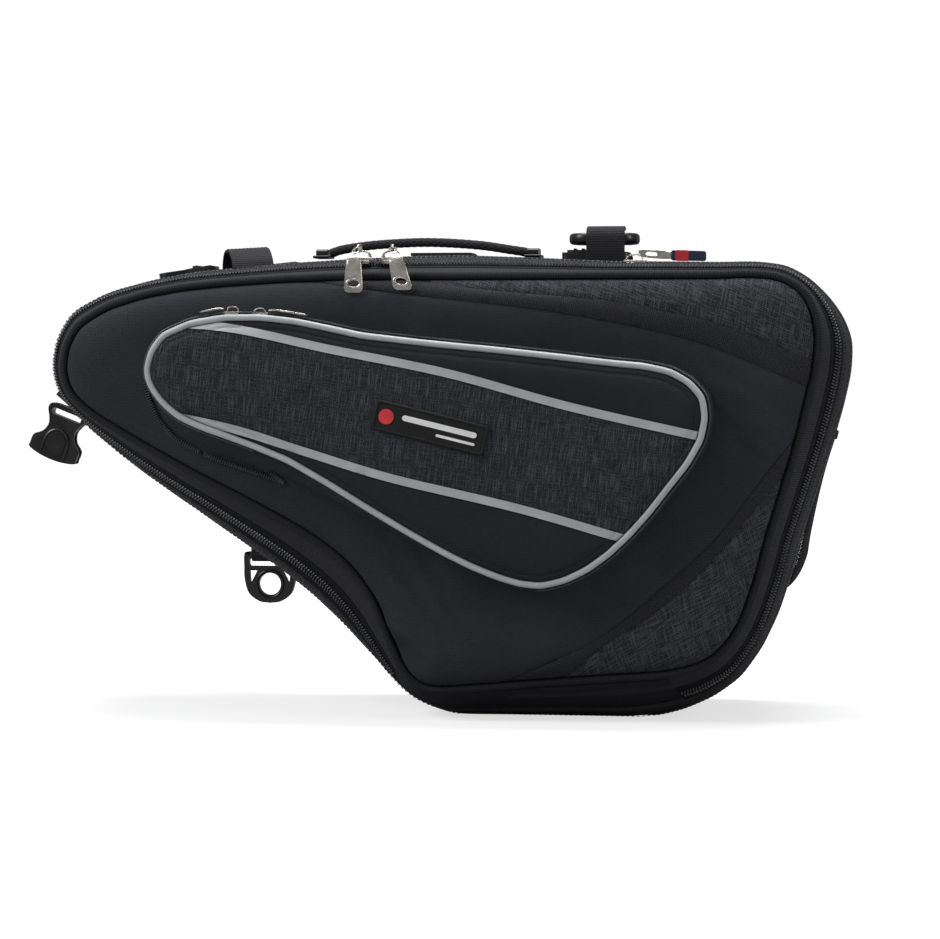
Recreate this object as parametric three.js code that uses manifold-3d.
// A soft motorcycle saddlebag: a teardrop-shaped pannier with a zipped clamshell lid
// and a zipped lid pocket. Millimetres, +Z up. The lid faces -Y, the long nose points
// to -X, and the bag stands on its flat base at z = 0.
import * as THREE from 'three';
import { LoftGeometry } from 'three/addons/geometries/LoftGeometry.js';
import { mergeVertices } from 'three/addons/utils/BufferGeometryUtils.js';
import Module from 'manifold-3d';

const wasm = await Module();
wasm.setup();

// ---------------------------------------------------------------- driving dimensions

const GAP = 0.3; // clearance kept between neighbouring pieces
const WALL = 3; // padded fabric wall
const REAR_SCALE = 0.97; // the back panel is drawn in slightly from the widest outline
const PIPING_RADIUS = 2.4;

// Depth planes (y) from the lid's front edge to the back panel.
const Y_LID_EDGE = -66;
const Y_LID_FACE = -76;
const Y_ZIP = -48; // the parting plane of the main zip
const ZIP_TAPE = 4; // width of each half of the main zip
const Y_BAND = -22; // front band ends, expansion zip starts
const Y_BODY = -12; // expansion zip ends, body piping starts
const Y_REAR_SEAM = 77;
const Y_BACK = 84;

// Depth planes of the lid pocket.
const Y_POCKET_ZIP = -93;
const Y_POCKET_EDGE = -97.4;
const Y_POCKET_FACE = -100;

// Outline stations, clockwise from the nose: [seam x, seam z, widest x, widest z].
// The seam is the lid's piped front edge; the widest line is the body behind it.
const BODY_STATIONS = [
  [-294, 216, -310, 218],
  [-284, 243, -297, 251],
  [-242, 261, -246, 270],
  [-190, 268, -192, 277],
  [-120, 271.5, -120, 282],
  [-50, 271.5, -50, 284],
  [40, 271.5, 40, 280],
  [110, 271.5, 110, 279],
  [146, 271, 150, 277],
  [164, 259, 175, 258],
  [171, 233, 189, 232],
  [165, 196, 184, 194],
  [154, 154, 171, 151],
  [142, 115, 158, 111],
  [127, 64, 145, 66],
  [109, 40, 122, 26],
  [84, 31, 88, 6],
  [56, 28.5, 56, 0],
  [0, 24, 0, 0],
  [-48, 19.5, -52, 0],
  [-70, 20, -82, 12],
  [-84, 36, -104, 34],
  [-100, 74, -130, 61],
  [-118, 97, -153, 81],
  [-150, 119, -178, 99],
  [-205, 147, -225, 131],
  [-256, 175, -269, 162],
  [-287, 196, -302, 194],
];
const LID_CENTRE = new THREE.Vector2(-12, 165); // every outline is star-shaped about this point
const BASE_CENTRE = new THREE.Vector2(-50, 0); // the rear outline shrinks towards this point

// Lid pocket outline, clockwise from its nose: [x, z, flare of the wall where it meets the lid].
const POCKET_STATIONS = [
  [-232, 215, 4],
  [-222, 235, 3],
  [-184, 245.5, 3],
  [-140, 243, 3],
  [-100, 234.5, 3],
  [-20, 226, 3],
  [50, 218, 3],
  [84, 213, 4],
  [103, 198, 5],
  [102, 173, 5],
  [83, 145, 5],
  [60, 117, 5],
  [35, 96, 6],
  [8, 86, 6],
  [-18, 91, 6],
  [-50, 105, 7],
  [-94, 130, 9],
  [-145, 160, 14],
  [-184, 175, 16],
  [-212, 186, 14],
  [-228, 202, 8],
];
const POCKET_CENTRE = new THREE.Vector2(-50, 165);

// Station numbers at which the body's stretches begin and end.
const TOP_START = 1;
const END_START = 9.5;
const BASE_START = 16.5;
const UNDERSIDE_START = 20.5;
const HINGE_START = 15.9;
const HINGE_END = 20.6;
const POCKET_HINGE_START = 13.2;
const POCKET_HINGE_END = 17.3;

// ---------------------------------------------------------------- materials

function finish(color, roughness, metalness = 0) {
  return new THREE.MeshStandardMaterial({ color, roughness, metalness });
}

const BLACK_FABRIC = finish(0x1d1d20, 0.9);
const LOWER_FABRIC = finish(0x19191c, 0.92);
const HEATHER_FABRIC = finish(0x2c2d31, 0.95);
const WEBBING = finish(0x1b1b1d, 0.85);
const PIPING = finish(0x18181b, 0.8);
const REFLECTIVE = finish(0x9c9fa2, 0.5);
const ZIP = finish(0x151517, 0.6);
const MESH_FABRIC = finish(0x141416, 0.95);
const BOARD = finish(0x101012, 0.6);
const BUCKLE_PLASTIC = finish(0x121214, 0.35);
const BADGE_RUBBER = finish(0x101011, 0.7);
const NICKEL = finish(0xcfcabd, 0.25, 1);
const TAG_RUBBER = finish(0x1c2340, 0.6);
const ROPE = finish(0x1a1a1c, 0.85);

const bag = new THREE.Group();

// ---------------------------------------------------------------- closed bodies

function signedVolume(geometry) {
  const p = geometry.getAttribute('position');
  const index = geometry.getIndex();
  const [a, b, c] = [new THREE.Vector3(), new THREE.Vector3(), new THREE.Vector3()];
  let volume = 0;
  for (let i = 0; i < index.count; i += 3) {
    a.fromBufferAttribute(p, index.getX(i));
    b.fromBufferAttribute(p, index.getX(i + 1));
    c.fromBufferAttribute(p, index.getX(i + 2));
    volume += a.dot(b.cross(c)) / 6;
  }
  return volume;
}

// Joins equal corners, drops the faces that this empties and turns the rest outwards.
function closedBody(geometry) {
  const bare = new THREE.BufferGeometry();
  bare.setAttribute('position', geometry.getAttribute('position'));
  bare.setIndex(geometry.getIndex());
  const welded = mergeVertices(bare, 1e-4);
  const index = Array.from(welded.getIndex().array);
  const faces = Array.from({ length: index.length / 3 }, (_, i) => index.slice(3 * i, 3 * i + 3));
  const full = faces.filter(([a, b, c]) => a !== b && b !== c && c !== a);
  welded.setIndex(full.flat());
  if (signedVolume(welded) < 0) {
    welded.setIndex(full.map((face) => face.reverse()).flat());
  }
  return welded;
}

function toManifold(geometry) {
  const body = closedBody(geometry);
  const vertProperties = new Float32Array(body.getAttribute('position').array);
  const triVerts = new Uint32Array(body.getIndex().array);
  return new wasm.Manifold(new wasm.Mesh({ numProp: 3, vertProperties, triVerts }));
}

function toGeometry(solid) {
  const mesh = solid.getMesh();
  const geometry = new THREE.BufferGeometry();
  geometry.setAttribute('position', new THREE.BufferAttribute(new Float32Array(mesh.vertProperties), 3));
  geometry.setIndex(new THREE.BufferAttribute(new Uint32Array(mesh.triVerts), 1));
  return geometry;
}

function piece(name, geometry, material) {
  const mesh = new THREE.Mesh(closedBody(geometry), material);
  mesh.name = name;
  bag.add(mesh);
  return mesh;
}

// ---------------------------------------------------------------- outlines

const planar = (x, z) => new THREE.Vector3(x, 0, z);
const closedCurve = (points) => new THREE.CatmullRomCurve3(points, true, 'centripetal');
const seamCurve = closedCurve(BODY_STATIONS.map(([x, z]) => planar(x, z)));
const widestCurve = closedCurve(BODY_STATIONS.map(([, , x, z]) => planar(x, z)));
const pocketCurve = closedCurve(POCKET_STATIONS.map(([x, z, flare]) => new THREE.Vector3(x, flare, z)));

function onCurve(curve, station, count) {
  return curve.getPoint((((station / count) % 1) + 1) % 1);
}

// A point of the body's outline. share 0 is the lid seam, 1 the widest line and 2 the back panel's edge.
function bodyOutline(station, share) {
  const seam = onCurve(seamCurve, station, BODY_STATIONS.length);
  const widest = onCurve(widestCurve, station, BODY_STATIONS.length);
  const point = seam.lerp(widest, Math.min(share, 1));
  const flat = new THREE.Vector2(point.x, point.z);
  if (share > 1) {
    const rear = flat.clone().sub(BASE_CENTRE).multiplyScalar(REAR_SCALE).add(BASE_CENTRE);
    flat.lerp(rear, share - 1);
  }
  flat.y = Math.max(flat.y, 0);
  return flat;
}

function pocketOutline(station) {
  const point = onCurve(pocketCurve, station, POCKET_STATIONS.length);
  return new THREE.Vector2(point.x, point.z);
}

// The outward direction of a clockwise outline.
function outwards(outline, station) {
  const step = 0.05;
  const along = outline(station + step).sub(outline(station - step)).normalize();
  return new THREE.Vector2(-along.y, along.x);
}

function bodyPoint(station, share, inset, y) {
  const outline = (s) => bodyOutline(s, share);
  const flat = outline(station).addScaledVector(outwards(outline, station), -inset);
  return new THREE.Vector3(flat.x, y, flat.y);
}

function pocketPoint(station, offset, flareShare, y) {
  const flare = onCurve(pocketCurve, station, POCKET_STATIONS.length).y;
  const flat = pocketOutline(station);
  flat.addScaledVector(outwards(pocketOutline, station), offset + flareShare * flare);
  return new THREE.Vector3(flat.x, y, flat.y);
}

// Draws an outline point in towards the centre by about the given inset.
function drawnIn(outline, station, centre, inset, y) {
  const flat = outline(station);
  const inwards = centre.clone().sub(flat).normalize();
  const slant = Math.max(-inwards.dot(outwards(outline, station)), 0.45);
  flat.addScaledVector(inwards, inset / slant);
  return new THREE.Vector3(flat.x, y, flat.y);
}

function stationsFrom(start, end, step = 0.5) {
  const count = Math.max(1, Math.round((end - start) / step));
  return Array.from({ length: count + 1 }, (_, i) => start + ((end - start) * i) / count);
}

// A band round the outline, whose cross-section is the closed list of corners.
function bandRound(stations, corner, corners, closed) {
  const sections = stations.map((s) => corners.map((c) => corner(s, c)));
  return closed ? new LoftGeometry(sections) : solidLoft(sections);
}

// Body corners are [share, inset, y].
function bodyBand(corners, start = 0, end = BODY_STATIONS.length) {
  const closed = end - start === BODY_STATIONS.length;
  const corner = (s, [share, inset, y]) => bodyPoint(s, share, inset, y);
  return bandRound(stationsFrom(start, end), corner, corners, closed);
}

// Pocket corners are [offset, flare share, y].
function pocketBand(corners, start = 0, end = POCKET_STATIONS.length) {
  const closed = end - start === POCKET_STATIONS.length;
  const corner = (s, [offset, flareShare, y]) => pocketPoint(s, offset, flareShare, y);
  return bandRound(stationsFrom(start, end), corner, corners, closed);
}

function wallSection(shareFront, yFront, shareRear, yRear, thickness) {
  return [
    [shareFront, 0, yFront],
    [shareRear, 0, yRear],
    [shareRear, thickness, yRear],
    [shareFront, thickness, yFront],
  ];
}

function sectionNormal(section) {
  const normal = new THREE.Vector3();
  section.forEach((point, i) => {
    const next = section[(i + 1) % section.length];
    normal.add(new THREE.Vector3().crossVectors(point, next));
  });
  return normal;
}

function sectionCentre(section) {
  return section.reduce((sum, point) => sum.add(point), new THREE.Vector3()).divideScalar(section.length);
}

// A solid through a row of cross-sections with flat ends, whichever way the sections wind.
function solidLoft(sections) {
  const forwards = sectionCentre(sections[1]).sub(sectionCentre(sections[0]));
  const backwards = sectionNormal(sections[0]).dot(forwards) < 0;
  const wound = backwards ? sections.map((section) => [...section].reverse()) : sections;
  return new LoftGeometry(wound, { capStart: true, capEnd: true });
}

// A solid through a stack of star-shaped rings, whose two ends are closed by fans about the centre.
function stackOfRings(rings, centre) {
  const hub = (ring) => ring.map((point) => new THREE.Vector3(centre.x, point.y, centre.y));
  return new LoftGeometry([hub(rings[0]), ...rings, hub(rings[rings.length - 1])]);
}

function roundSection(radius, sides, place) {
  return Array.from({ length: sides }, (_, i) => {
    const angle = ((i + 0.5) / sides) * 2 * Math.PI;
    return place(radius * Math.cos(angle), radius * Math.sin(angle));
  });
}

// ---------------------------------------------------------------- simple shapes

// A prism over an outline in the x-z plane, from yFront back to yRear.
function prism(shape, yFront, yRear, bevel = 0) {
  const settings = {
    depth: yRear - yFront - 2 * bevel,
    curveSegments: 4,
    bevelEnabled: bevel > 0,
    bevelThickness: bevel,
    bevelSize: bevel,
    bevelOffset: -bevel,
    bevelSegments: 1,
  };
  const geometry = new THREE.ExtrudeGeometry(shape, settings);
  return geometry.rotateX(Math.PI / 2).translate(0, yRear - bevel, 0);
}

function polygon(points) {
  return new THREE.Shape(points.map(([x, z]) => new THREE.Vector2(x, z)));
}

function roundedRectangle(width, height, radius) {
  const [x, y] = [width / 2, height / 2];
  const shape = new THREE.Shape();
  shape.moveTo(-x + radius, -y);
  shape.lineTo(x - radius, -y);
  shape.absarc(x - radius, -y + radius, radius, -Math.PI / 2, 0);
  shape.lineTo(x, y - radius);
  shape.absarc(x - radius, y - radius, radius, 0, Math.PI / 2);
  shape.lineTo(-x + radius, y);
  shape.absarc(-x + radius, y - radius, radius, Math.PI / 2, Math.PI);
  shape.lineTo(-x, -y + radius);
  shape.absarc(-x + radius, -y + radius, radius, Math.PI, 1.5 * Math.PI);
  return shape;
}

// A flat strap along a path. Its width lies along the across direction; widths may change along it.
function ribbon(path, across, widths, thickness) {
  const wide = across.clone().normalize();
  const sections = path.map((point, i) => {
    const before = path[Math.max(i - 1, 0)];
    const after = path[Math.min(i + 1, path.length - 1)];
    const along = after.clone().sub(before).normalize();
    const upwards = new THREE.Vector3().crossVectors(along, wide).normalize();
    const half = (Array.isArray(widths) ? widths[i] : widths) / 2;
    const corners = [[1, 1], [1, -1], [-1, -1], [-1, 1]];
    return corners.map(([a, b]) => {
      const corner = point.clone().addScaledVector(wide, a * half);
      return corner.addScaledVector(upwards, (b * thickness) / 2);
    });
  });
  return solidLoft(sections);
}

const ALONG_X = new THREE.Vector3(1, 0, 0);
const ALONG_Y = new THREE.Vector3(0, 1, 0);
const ALONG_Z = new THREE.Vector3(0, 0, 1);
const inYZ = (x, points) => points.map(([y, z]) => new THREE.Vector3(x, y, z));
const inXZ = (y, points) => points.map(([x, z]) => new THREE.Vector3(x, y, z));

// ---------------------------------------------------------------- body

function makeGussets() {
  const wall = wallSection(1.05, Y_BODY + 5.3, 1.97, Y_REAR_SEAM - GAP, WALL);
  const half = GAP / 2 / 25; // half a gap, in stations of about 25 mm
  const stretches = [
    ['top_gusset', TOP_START, END_START],
    ['end_gusset', END_START, BASE_START],
    ['base_gusset', BASE_START, UNDERSIDE_START],
    ['underside_gusset', UNDERSIDE_START, BODY_STATIONS.length + TOP_START],
  ];
  for (const [name, start, end] of stretches) {
    piece(name, bodyBand(wall, start + half, end - half), BLACK_FABRIC);
  }
}

function makeBack() {
  const stations = stationsFrom(0, BODY_STATIONS.length).slice(0, -1);
  const slab = (planes) => {
    const rings = planes.map(([inset, y]) => stations.map((s) => bodyPoint(s, 2, inset, y)));
    return stackOfRings(rings, LID_CENTRE);
  };
  const edge = 2 * PIPING_RADIUS + 0.6;
  const panel = slab([[edge, Y_REAR_SEAM], [edge, Y_BACK - 2], [edge + 4, Y_BACK]]);
  piece('back_panel', panel, BLACK_FABRIC);
  piece('back_board', slab([[12, Y_REAR_SEAM - 3], [12, Y_REAR_SEAM - GAP]]), BOARD);
}

function makeBodySeams() {
  const piping = (share, y) =>
    roundSection(PIPING_RADIUS, 6, (a, b) => [share, PIPING_RADIUS + 0.3 + a, y + b]);
  piece('body_piping', bodyBand(piping(1, Y_BODY + PIPING_RADIUS + 0.2)), PIPING);
  piece('rear_piping', bodyBand(piping(2, Y_REAR_SEAM + PIPING_RADIUS + 0.2)), PIPING);
  piece('expansion_zip', bodyBand([
    [1, 0.4, Y_BAND + GAP],
    [1, 0.4, Y_BODY - GAP],
    [1, 2.8, Y_BODY - GAP],
    [1, 2.8, Y_BAND + GAP],
  ]), ZIP);
  piece('front_band', bodyBand(wallSection(0.75, Y_ZIP + ZIP_TAPE + GAP, 1, Y_BAND, WALL)), BLACK_FABRIC);
}

// The main zip runs round the whole outline except the bottom, where a fabric strip is the lid's hinge.
function makeMainZip() {
  const end = BODY_STATIONS.length + HINGE_START;
  const bodyTape = wallSection(0.7, Y_ZIP + 0.2, 0.7, Y_ZIP + ZIP_TAPE, 2.4);
  const lidTape = wallSection(0.7, Y_ZIP - ZIP_TAPE, 0.7, Y_ZIP - 0.2, 2.4);
  piece('main_zip_body_tape', bodyBand(bodyTape, HINGE_END, end), ZIP);
  piece('main_zip_lid_tape', bodyBand(lidTape, HINGE_END, end), ZIP);
  const strip = wallSection(0.68, Y_ZIP - ZIP_TAPE, 0.72, Y_ZIP + ZIP_TAPE, 2);
  piece('hinge_panel', bodyBand(strip, HINGE_START + 0.02, HINGE_END - 0.02), LOWER_FABRIC);
}

// An open-topped elastic net pocket that stands off the bag's end.
function makeMeshPocket() {
  const [top, bottom] = [11.4, 13.6];
  const [yFront, yRear] = [2, 68];
  const bulge = 11;
  const thickness = 1.2;
  const rows = stationsFrom(top, bottom, 0.2);
  const columns = 8;
  const at = (row, column, extra) => {
    const down = row / (rows.length - 1);
    const across = Math.sin((Math.PI * column) / columns) ** 0.6;
    const lift = 2 * GAP + bulge * across * Math.sqrt(1 - (0.96 * down) ** 4) + extra;
    const y = yFront + ((yRear - yFront) * column) / columns;
    const share = 1.05 + (0.92 * (y - Y_BODY)) / (Y_REAR_SEAM - Y_BODY);
    return bodyPoint(rows[row], share, -lift, y);
  };
  const line = (row, extra) => Array.from({ length: columns + 1 }, (_, c) => at(row, c, extra));
  const sections = rows.map((_, row) => [...line(row, thickness), ...line(row, 0).reverse()]);
  piece('mesh_pocket', solidLoft(sections), MESH_FABRIC);
  const rim = rows[0] - 0.02;
  const rimPath = Array.from({ length: columns + 1 }, (_, c) => {
    const point = at(0, c, thickness / 2);
    const up = bodyPoint(rim - 0.12, 1.5, 0, 0).sub(bodyPoint(rim, 1.5, 0, 0)).normalize();
    return point.addScaledVector(up, 3.4);
  });
  const wide = bodyPoint(rim - 0.1, 1.5, 0, 0).sub(bodyPoint(rim, 1.5, 0, 0));
  piece('mesh_pocket_binding', ribbon(rimPath, wide, 6, 2), WEBBING);
}

// ---------------------------------------------------------------- lid

// The puffed space under an outline: rings are [inset, y] from the rim to the flat of the face.
function dome(outline, count, centre, rings) {
  const stations = stationsFrom(0, count).slice(0, -1);
  const ring = ([inset, y]) => stations.map((s) => drawnIn(outline, s, centre, inset, y));
  return toManifold(stackOfRings(rings.map(ring), centre));
}

function lidShell() {
  const outline = (s) => bodyOutline(s, 0);
  const rings = (inset, back) => [
    [PIPING_RADIUS + GAP + inset, Y_LID_EDGE + 2.4 + 2 * back],
    [PIPING_RADIUS + GAP + inset, Y_LID_EDGE + back],
    [6 + inset, Y_LID_EDGE - 4 + back],
    [12 + inset, Y_LID_EDGE - 8 + back],
    [20 + inset, Y_LID_FACE + back],
  ];
  const outer = dome(outline, BODY_STATIONS.length, LID_CENTRE, rings(0, 0));
  return outer.subtract(dome(outline, BODY_STATIONS.length, LID_CENTRE, rings(2.5, WALL)));
}

// The same line moved sideways by the given distance, to the left of its direction.
function shifted(line, distance) {
  return line.map(([x, z], i) => {
    const [x0, z0] = line[Math.max(i - 1, 0)];
    const [x1, z1] = line[Math.min(i + 1, line.length - 1)];
    const length = Math.hypot(x1 - x0, z1 - z0);
    return [x - ((z1 - z0) / length) * distance, z + ((x1 - x0) / length) * distance];
  });
}

// Everything of the solid between two lines that run the same way.
function between(solid, lower, upper) {
  const area = polygon([...lower, ...[...upper].reverse()]);
  return toGeometry(solid.intersect(toManifold(prism(area, -130, -40))));
}

// Webbing trims cross the lid's two right-hand corners, with heather fabric outside them.
const UPPER_TRIM_LOW = [[-190, 277], [-99, 263], [7, 250], [80, 236], [118, 224], [172, 201]];
const UPPER_TRIM_HIGH = [[-190, 290], [-57, 266], [42, 256], [80, 249], [117, 240], [190, 210]];
const LOWER_TRIM_INNER = [[-80, -6], [-19, 24], [39, 52], [75, 81], [110, 113], [143, 156], [172, 192]];
const LOWER_TRIM_OUTER = [[-60, -12], [16, 27], [41, 47], [75, 70], [98, 90], [121, 116], [200, 212]];

function makeLidPanels() {
  const shell = lidShell();
  const far = 400;
  const above = [[-190, far], [190, far]];
  const below = [[-60, -far], [200, -far]];
  piece('upper_corner_panel', between(shell, shifted(UPPER_TRIM_HIGH, GAP), above), HEATHER_FABRIC);
  piece('upper_trim', between(shell, UPPER_TRIM_LOW, UPPER_TRIM_HIGH), WEBBING);
  piece('lower_corner_panel', between(shell, below, shifted(LOWER_TRIM_OUTER, -GAP)), HEATHER_FABRIC);
  piece('lower_trim', between(shell, LOWER_TRIM_OUTER, LOWER_TRIM_INNER), WEBBING);
  const upperLimit = [[-far, far], [-190, far], ...shifted(UPPER_TRIM_LOW, -GAP), [far, 201]];
  const lowerLimit = [[-far, -far], [-80, -far], ...shifted(LOWER_TRIM_INNER, GAP), [far, 192]];
  piece('lid_panel', between(shell, lowerLimit, upperLimit), BLACK_FABRIC);
}

function makeLidFrame() {
  const piping = roundSection(PIPING_RADIUS, 6, (a, b) => [0, a, Y_LID_EDGE + b]);
  piece('lid_piping', bodyBand(piping), PIPING);
  const gusset = wallSection(0.08, Y_LID_EDGE + 2.8, 0.6, Y_ZIP - ZIP_TAPE - GAP, WALL);
  piece('lid_gusset', bodyBand(gusset), WEBBING);
  const stations = stationsFrom(0, BODY_STATIONS.length).slice(0, -1);
  const outline = (s) => bodyOutline(s, 0);
  const planes = [Y_LID_FACE + WALL + GAP, Y_LID_FACE + WALL + GAP + 2];
  const rings = planes.map((y) => stations.map((s) => drawnIn(outline, s, LID_CENTRE, 27, y)));
  piece('lid_board', stackOfRings(rings, LID_CENTRE), BOARD);
}

// ---------------------------------------------------------------- lid pocket

// Reflective strips cover the two seams of the pocket flap's heather band.
const UPPER_STRIP = [
  [-250, 243], [-185, 240], [-119, 226.6], [-47, 212], [23, 193], [98, 176], [130, 169],
];
const LOWER_STRIP = [
  [-250, 192], [-184, 180], [-132, 164.5], [-81, 149.5], [-5, 132], [57, 114.5], [110, 98.5],
];
const STRIP_WIDTH = 5;

function makePocketBase() {
  piece('pocket_wall', pocketBand([
    [0, 1, Y_LID_FACE - GAP],
    [0.5, 0, Y_POCKET_ZIP + 2.2],
    [-2, 0, Y_POCKET_ZIP + 2.2],
    [-2.5, 1, Y_LID_FACE - GAP],
  ]), BLACK_FABRIC);
  const tape = (yFront, yRear) => [[0.5, 0, yFront], [0.5, 0, yRear], [-1.8, 0, yRear], [-1.8, 0, yFront]];
  const end = POCKET_STATIONS.length + POCKET_HINGE_START;
  const rear = tape(Y_POCKET_ZIP + 0.2, Y_POCKET_ZIP + 1.9);
  const front = tape(Y_POCKET_EDGE + 2.7, Y_POCKET_ZIP - 0.2);
  piece('pocket_zip_wall_tape', pocketBand(rear, POCKET_HINGE_END, end), ZIP);
  piece('pocket_zip_flap_tape', pocketBand(front, POCKET_HINGE_END, end), ZIP);
  const hinge = pocketBand(rear, POCKET_HINGE_START + 0.02, POCKET_HINGE_END - 0.02);
  piece('pocket_hinge_strip', hinge, LOWER_FABRIC);
}

function pocketShell() {
  const rings = (inset, back) => [
    [3.4 + inset, Y_POCKET_EDGE + 2.4 + 2 * back],
    [3.4 + inset, Y_POCKET_EDGE + back],
    [6.8 + inset, Y_POCKET_FACE + 0.7 + back],
    [11 + inset, Y_POCKET_FACE + back],
  ];
  const outer = dome(pocketOutline, POCKET_STATIONS.length, POCKET_CENTRE, rings(0, 0));
  return outer.subtract(dome(pocketOutline, POCKET_STATIONS.length, POCKET_CENTRE, rings(2, 2.2)));
}

function makePocketFlap() {
  const shell = pocketShell();
  const above = [[-250, 300], [130, 300]];
  const below = [[-250, 40], [110, 40]];
  piece('pocket_flap_upper', between(shell, shifted(UPPER_STRIP, GAP / 2), above), BLACK_FABRIC);
  const band = between(shell, shifted(LOWER_STRIP, GAP / 2), shifted(UPPER_STRIP, -GAP / 2));
  piece('pocket_band', band, HEATHER_FABRIC);
  piece('pocket_flap_lower', between(shell, below, shifted(LOWER_STRIP, -GAP / 2)), BLACK_FABRIC);
  const piping = roundSection(2, 6, (a, b) => [a + 0.4, 0, Y_POCKET_EDGE + b]);
  piece('pocket_piping', pocketBand(piping), REFLECTIVE);

  const stations = stationsFrom(0, POCKET_STATIONS.length).slice(0, -1);
  const planes = [Y_POCKET_FACE - 1.4, Y_POCKET_FACE - GAP];
  const field = planes.map((y) => stations.map((s) => drawnIn(pocketOutline, s, POCKET_CENTRE, 5, y)));
  const slab = toManifold(stackOfRings(field, POCKET_CENTRE));
  const strip = (line) => between(slab, shifted(line, -STRIP_WIDTH / 2), shifted(line, STRIP_WIDTH / 2));
  piece('upper_reflective_strip', strip(UPPER_STRIP), REFLECTIVE);
  piece('lower_reflective_strip', strip(LOWER_STRIP), REFLECTIVE);

  const badge = prism(roundedRectangle(70, 18.5, 2.5), -2.2, 0, 0.5);
  badge.rotateY(THREE.MathUtils.degToRad(13.7)).translate(-58, Y_POCKET_FACE - GAP, 180);
  piece('badge', badge, BADGE_RUBBER);
}

// ---------------------------------------------------------------- zip sliders and pullers

// A slider body: a rounded plan over the zip with a raised bridge on top.
function slider(length, width, height) {
  const plan = roundedRectangle(length, width, width * 0.3);
  const settings = { depth: height * 0.55, bevelEnabled: false, curveSegments: 3 };
  const base = new THREE.ExtrudeGeometry(plan, settings);
  const bridge = new THREE.BoxGeometry(length * 0.7, width * 0.35, height * 0.5);
  bridge.translate(0, 0, height * 0.75);
  return toGeometry(toManifold(base).add(toManifold(bridge)));
}

// A main puller reaches forward from its slider, bends over the lid's edge and hangs down its front.
// It leans sideways on the way down, so that its plate ends beside its slider.
function mainPuller(x, lean) {
  const bend = [[-50, 288.4], [-60, 287.9], [-70.5, 284.6], [-75.2, 280]];
  const path = inYZ(x, [...bend, [-76, 270], [-76.3, 260.5]]);
  path.forEach((point, i) => point.setX(x + (lean * i) / (path.length - 1)));
  const plate = toManifold(ribbon(path, ALONG_X, [5, 6, 9, 10, 10.8, 11.6], 1.4));
  const hole = new THREE.CylinderGeometry(1.95, 1.95, 6, 12).scale(1.9, 1, 1);
  return toGeometry(plate.subtract(toManifold(hole.translate(x + lean * 0.9, -76, 265))));
}

function makeMainSliders() {
  for (const [side, x, lean] of [['left', -109, 0], ['right', -90, 12]]) {
    piece(`main_slider_${side}`, slider(15, 10, 6).translate(x, Y_ZIP - 1, 281.2), NICKEL);
    piece(`main_puller_${side}`, mainPuller(x, lean), NICKEL);
  }
}

// The pocket's two small sliders meet nose to nose; their pullers lie away from each other.
function makePocketSliders() {
  const places = [
    ['left', -180, -1, 249.7, [[5.5, 1.3], [10, 0.8], [20, -0.7]]],
    ['right', -163, 1, 248.7, [[5.5, 1.2], [12, 0.6], [29, -1.6]]],
  ];
  for (const [side, x, sign, z, run] of places) {
    piece(`pocket_slider_${side}`, slider(10, 4, 4).translate(x, Y_POCKET_ZIP, z - 1.4), NICKEL);
    const path = inXZ(Y_POCKET_ZIP, run.map(([dx, dz]) => [x + sign * dx, z + dz]));
    piece(`pocket_puller_${side}`, ribbon(path, ALONG_Y, [4, 6, 8], 1), NICKEL);
  }
}

function makeExpansionSlider() {
  const y = (Y_BAND + Y_BODY) / 2;
  piece('expansion_slider', slider(14, 9, 5).translate(57, y, 280.4), NICKEL);
  const path = inXZ(y, [[62.5, 286], [70, 285.6], [77.5, 285], [79, 284.8], [101, 284.2]]);
  piece('expansion_pull_tag', ribbon(path, ALONG_Z, [4, 5, 4, 6.3, 6.3], 1.8), TAG_RUBBER);
}

// ---------------------------------------------------------------- handle, loops and straps

const HANDLE_X = [-142, -8];
const HANDLE_Z = 287.4;

function makeRopeHandle() {
  const left = [[-137.4, 287.8], [-128, 290.5], [-106, 293.2]];
  const right = [[-44, 292.6], [-22, 289.4], [-12, 287.8]];
  const path = new THREE.CatmullRomCurve3(inXZ(0, [...left, [-75, 294.4], ...right]));
  const section = new THREE.Shape(roundSection(2.75, 8, (a, b) => new THREE.Vector2(a, b)));
  const rope = new THREE.ExtrudeGeometry(section, { steps: 14, extrudePath: path, bevelEnabled: false });
  piece('rope_handle', rope, ROPE);
  for (const [name, x] of [['handle_anchor_left', HANDLE_X[0]], ['handle_anchor_right', HANDLE_X[1]]]) {
    const anchor = new THREE.BoxGeometry(7, 15, 5.6);
    piece(name, anchor.translate(x, 0, HANDLE_Z), BUCKLE_PLASTIC);
  }
}

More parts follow.
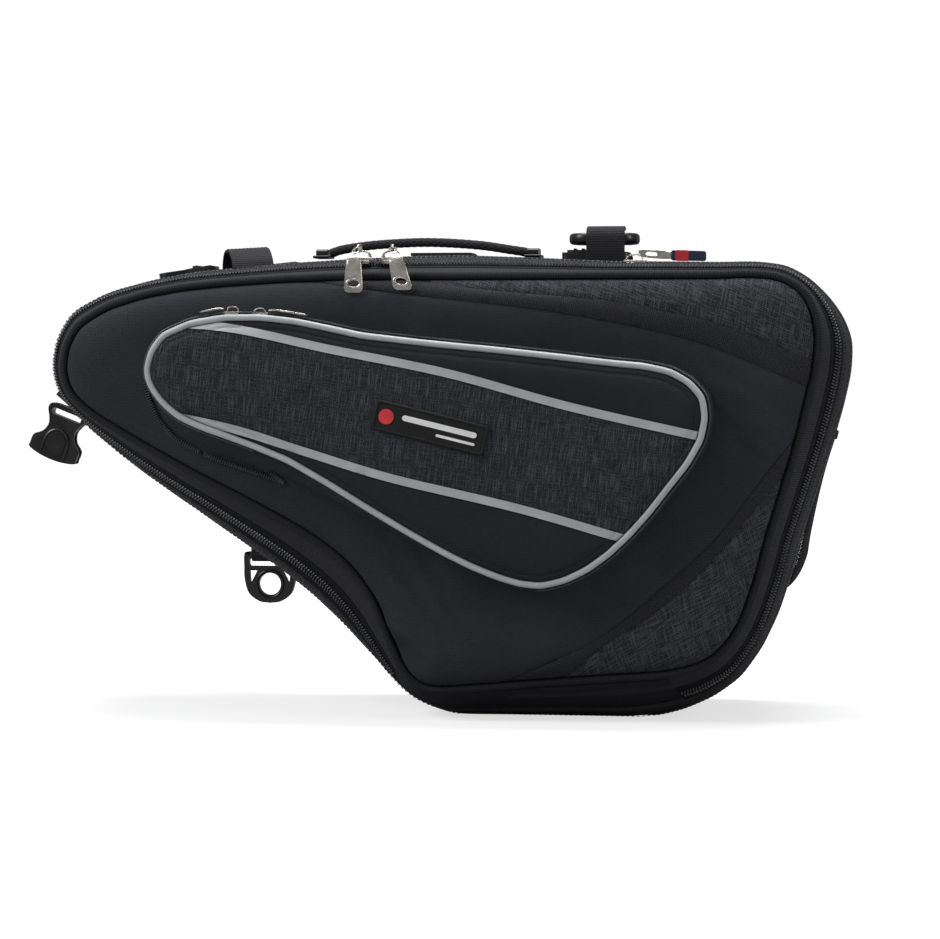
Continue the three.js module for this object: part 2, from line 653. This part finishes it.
// A tunnel of webbing on the top, with a tie strap and its male buckle tucked through it.
function makeTopLeftHardware() {
  const arch = [[-21, -0.7], [-18.1, 5], [-10.5, 10.6], [0, 12.4], [10.5, 10.6], [18.1, 5], [21, -0.7]];
  const turn = THREE.MathUtils.degToRad(22);
  const tilt = THREE.MathUtils.degToRad(-4);
  const loop = ribbon(inYZ(0, arch), ALONG_X, 26, 1.6);
  piece('webbing_loop', loop.rotateZ(turn).rotateY(tilt).translate(-191, 0, 278.3), WEBBING);
  const strapPath = inXZ(0, [[-209, 276.7], [-180, 279.4], [-158, 281.6]]);
  piece('tie_strap', ribbon(strapPath, ALONG_Y, 25, 1.6), WEBBING);
  const outline = polygon([
    [-7.3, -13], [9, -13], [9, -9], [22, -13], [27, -10], [27, -7], [12, -4], [12, -2], [26, -2],
    [26, 2], [12, 2], [12, 4], [27, 7], [27, 10], [22, 13], [9, 9], [9, 13], [-7.3, 13],
  ]);
  const buckle = new THREE.ExtrudeGeometry(outline, { depth: 4.5, bevelEnabled: false });
  buckle.rotateZ(Math.PI).rotateY(THREE.MathUtils.degToRad(-9));
  piece('top_buckle', buckle.translate(-219, 0, 274.9), BUCKLE_PLASTIC);
}

// A moulded oval ring on a webbing tab, lying over a low plastic base.
function makeStrapRing() {
  const ring = roundedRectangle(44, 26, 11);
  ring.holes.push(roundedRectangle(31, 16, 5));
  const body = new THREE.ExtrudeGeometry(ring, { depth: 7, bevelEnabled: false, curveSegments: 4 });
  piece('strap_ring', body.translate(36, 4.5, 292.5), BUCKLE_PLASTIC);
  const tab = [[-10.6, 281.6], [-12.2, 290], [-12.4, 298], [-9.5, 301.8], [-5, 302.8], [-1.5, 301.8]];
  piece('strap_ring_tab', ribbon(inYZ(38, tab), ALONG_X, 24, 1.6), WEBBING);
  const base = new THREE.BoxGeometry(40, 18, 7).translate(30, 2.5, 285.6);
  piece('strap_ring_base', base, BUCKLE_PLASTIC);
}

// Broad straps sewn up the back panel, which carry the bag over the seat.
function makeSeatStraps() {
  const path = [[85.4, 120], [85.4, 262], [84.6, 276], [79, 284.6], [68, 288.4], [40, 288.6]];
  for (const [name, x] of [['seat_strap_front', -73], ['seat_strap_rear', 28]]) {
    piece(name, ribbon(inYZ(x, path), ALONG_X, 40, 2), WEBBING);
  }
}

// The nose buckle hangs from a strap sewn near the top of the back panel's nose.
const NOSE_HANG = new THREE.Vector3(-0.66, 0, -0.7513);
const BUCKLE_HANG = new THREE.Vector3(-0.37, 0, -0.929);
const NOSE_TOP = new THREE.Vector3(-291, 85.6, 237);

function makeNoseBuckle() {
  const across = new THREE.Vector3().crossVectors(NOSE_HANG, ALONG_Y);
  const end = NOSE_TOP.clone().addScaledVector(NOSE_HANG, 59);
  piece('nose_strap', ribbon([NOSE_TOP, end], across, 25, 1.6), WEBBING);
  const shell = new THREE.Shape();
  shell.moveTo(-13, 0);
  shell.lineTo(13, 0);
  shell.quadraticCurveTo(14, 6, 10.5, 10);
  shell.quadraticCurveTo(8, 20, 17, 25);
  shell.lineTo(17, 34);
  shell.quadraticCurveTo(0, 38.5, -17, 34);
  shell.lineTo(-17, 25);
  shell.quadraticCurveTo(-8, 20, -10.5, 10);
  shell.quadraticCurveTo(-14, 6, -13, 0);
  const settings = { depth: 9, bevelEnabled: false, curveSegments: 5 };
  const outer = toManifold(new THREE.ExtrudeGeometry(shell, settings));
  const mouth = new THREE.BoxGeometry(27, 24, 5).translate(0, 30, 4.5);
  const slot = new THREE.BoxGeometry(21, 4.4, 12).translate(0, 5, 4.5);
  const body = toGeometry(outer.subtract(toManifold(mouth)).subtract(toManifold(slot)));
  const width = new THREE.Vector3().crossVectors(BUCKLE_HANG, ALONG_Y).normalize();
  const frame = new THREE.Matrix4().makeBasis(width, BUCKLE_HANG, ALONG_Y);
  frame.setPosition(end.clone().addScaledVector(BUCKLE_HANG, 4.6).setY(81.1));
  piece('nose_buckle', body.applyMatrix4(frame), BUCKLE_PLASTIC);
}

// A slotted buckle with a finger ring hangs from a strap behind the underside.
function makeUnderBuckle() {
  const top = new THREE.Vector3(-195, 85.6, 150);
  const end = new THREE.Vector3(-195, 85.6, 93.4);
  piece('under_strap', ribbon([top, end], ALONG_X, 25, 1.6), WEBBING);
  const outline = new THREE.Shape();
  outline.moveTo(-17.5, 0);
  outline.lineTo(17.5, 0);
  outline.lineTo(17.5, -18);
  outline.quadraticCurveTo(15, -31, 7, -33);
  outline.quadraticCurveTo(0, -34.5, -7, -33);
  outline.quadraticCurveTo(-15, -31, -17.5, -18);
  const slot = new THREE.BoxGeometry(28, 12, 5).translate(0, 0, -7);
  const ring = new THREE.CylinderGeometry(7.4, 7.4, 12, 16).translate(0, 0, -21.5);
  let buckle = toManifold(prism(outline, -2.2, 2.2)).subtract(toManifold(slot)).subtract(toManifold(ring));
  for (const sign of [-1, 1]) {
    const corners = [[13.8, -12.8], [8.8, -12.8], [13, -21]].map(([x, z]) => [sign * x, z]);
    buckle = buckle.subtract(toManifold(prism(polygon(corners), -6, 6)));
  }
  piece('under_buckle', toGeometry(buckle).translate(-195, 85.6, 93), BUCKLE_PLASTIC);
}

makeGussets();
makeBack();
makeBodySeams();
makeMainZip();
makeMeshPocket();
makeLidPanels();
makeLidFrame();
makePocketBase();
makePocketFlap();
makeMainSliders();
makePocketSliders();
makeExpansionSlider();
makeRopeHandle();
makeTopLeftHardware();
makeStrapRing();
makeSeatStraps();
makeNoseBuckle();
makeUnderBuckle();

export default bag;
